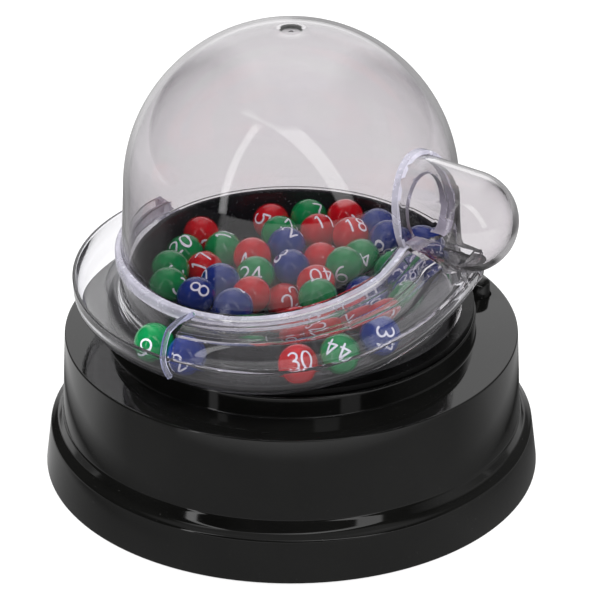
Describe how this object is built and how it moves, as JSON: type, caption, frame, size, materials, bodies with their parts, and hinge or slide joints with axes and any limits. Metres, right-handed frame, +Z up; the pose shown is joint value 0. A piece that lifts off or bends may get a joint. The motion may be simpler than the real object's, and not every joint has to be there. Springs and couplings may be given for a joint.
{
  "type": "bingo cage",
  "caption": "Electric tabletop ball draw machine: clear dome with side port, covered ramp and curved tray over a bowl of numbered balls, on a round black base with a push button.",
  "frame": {"origin": "centre of the base on the table, under the rubber feet", "axes": "+Z up along the dome's and the agitator's axis, -Y towards the front, where the ramp's tunnel is, and +X to the right, where the port and the button are"},
  "size_m": [0.125, 0.125, 0.1182],
  "materials": {
    "housing_black": "glossy black moulded plastic",
    "cover_black": "satin black moulded plastic",
    "bowl_black": "black moulded plastic",
    "clear_plastic": "clear moulded plastic with a faint grey tint",
    "button_black": "glossy black moulded plastic",
    "agitator_black": "black moulded plastic",
    "ball_red": "glossy red plastic with a printed white number",
    "ball_green": "glossy green plastic with a printed white number",
    "ball_blue": "glossy blue plastic with a printed white number",
    "gear_white": "white moulded plastic",
    "switch_white": "off-white moulded plastic",
    "plunger_red": "red moulded plastic",
    "brass": "machined brass",
    "steel": "bright steel",
    "motor_grey": "plated sheet steel can",
    "cell_wrap": "printed film over a metal cell",
    "rubber": "matt black rubber",
    "wire_red": "red insulation",
    "wire_black": "black insulation"
  },
  "bodies": {
    "base": {"base_housing": "housing_black", "bottom_cover": "cover_black", "bowl": "bowl_black", "ball_tray": "clear_plastic", "button_spring": "steel", "switch_body": "switch_white", "shaft_bushing": "brass", "motor_can": "motor_grey", "gearbox_plate": "switch_white", "battery_1": "cell_wrap", "battery_2": "cell_wrap", "battery_3": "cell_wrap", "bridge_contact_1": "steel", "bridge_contact_2": "steel", "end_contact_plus": "steel", "end_contact_minus": "steel", "case_screw_1": "steel", "case_screw_2": "steel", "case_screw_3": "steel", "rubber_foot_1": "rubber", "rubber_foot_2": "rubber", "rubber_foot_3": "rubber", "wire_battery_to_switch": "wire_red", "wire_switch_to_motor": "wire_red", "wire_motor_to_battery": "wire_black", "ball_red_30": "ball_red", "ball_green_44": "ball_green", "ball_blue_37": "ball_blue"},
    "agitator": {"agitator": "agitator_black", "agitator_shaft": "steel", "drive_gear": "gear_white", "ball_red_13": "ball_red", "ball_green_20": "ball_green", "ball_green_3": "ball_green", "ball_red_17": "ball_red", "ball_blue_8": "ball_blue", "ball_red_4": "ball_red", "ball_green_24": "ball_green", "ball_red_22": "ball_red", "ball_red_5": "ball_red", "ball_green_7": "ball_green", "ball_blue_33": "ball_blue", "ball_red_11": "ball_red", "ball_green_6": "ball_green", "ball_red_40": "ball_red", "ball_red_2": "ball_red", "ball_blue_26": "ball_blue", "ball_blue_19": "ball_blue", "ball_green_15": "ball_green", "ball_blue_28": "ball_blue"},
    "motor_rotor": {"motor_shaft": "steel", "pinion_gear": "brass"},
    "button": {"push_button": "button_black", "switch_plunger": "plunger_red"},
    "dome_assembly": {"dome": "clear_plastic", "chute_cover": "clear_plastic"},
    "drawn_ball_9": {"ball_green_9": "ball_green"},
    "drawn_ball_12": {"ball_blue_12": "ball_blue"},
    "battery_door": {"battery_door": "cover_black", "door_screw": "steel"}
  },
  "joints": [
    {"name": "agitator_spin", "type": "hinge", "parent": "base", "child": "agitator", "pos_m": [0, 0, 0.03], "axis": [0, 0, 1], "continuous": true},
    {"name": "motor_spin", "type": "hinge", "parent": "base", "child": "motor_rotor", "pos_m": [0, 0.018, 0.025], "axis": [0, 0, 1], "continuous": true},
    {"name": "button_press", "type": "slide", "parent": "base", "child": "button", "axis": [0, 0, -1], "range_m": [0, 0.0018], "stiffness_N_per_m": 300, "deforming": ["button_spring"]},
    {"name": "dome_lift", "type": "slide", "parent": "base", "child": "dome_assembly", "axis": [0, 0, 1], "range_m": [0, 0.05]},
    {"name": "ball_9_roll", "type": "hinge", "parent": "base", "child": "drawn_ball_9", "pos_m": [0, 0, 0.0517], "axis": [0, 0, 1], "range_deg": [-86, 0]},
    {"name": "ball_12_roll", "type": "hinge", "parent": "base", "child": "drawn_ball_12", "pos_m": [0, 0, 0.0517], "axis": [0, 0, 1], "range_deg": [-86, 0]},
    {"name": "battery_door_release", "type": "slide", "parent": "base", "child": "battery_door", "axis": [0, 0, -1], "range_m": [0, 0.02]}
  ],
  "couplings": [
    {"joint": "motor_spin", "follows": "agitator_spin", "ratio": -4},
    {"joint": "ball_12_roll", "follows": "ball_9_roll", "ratio": 1}
  ]
}
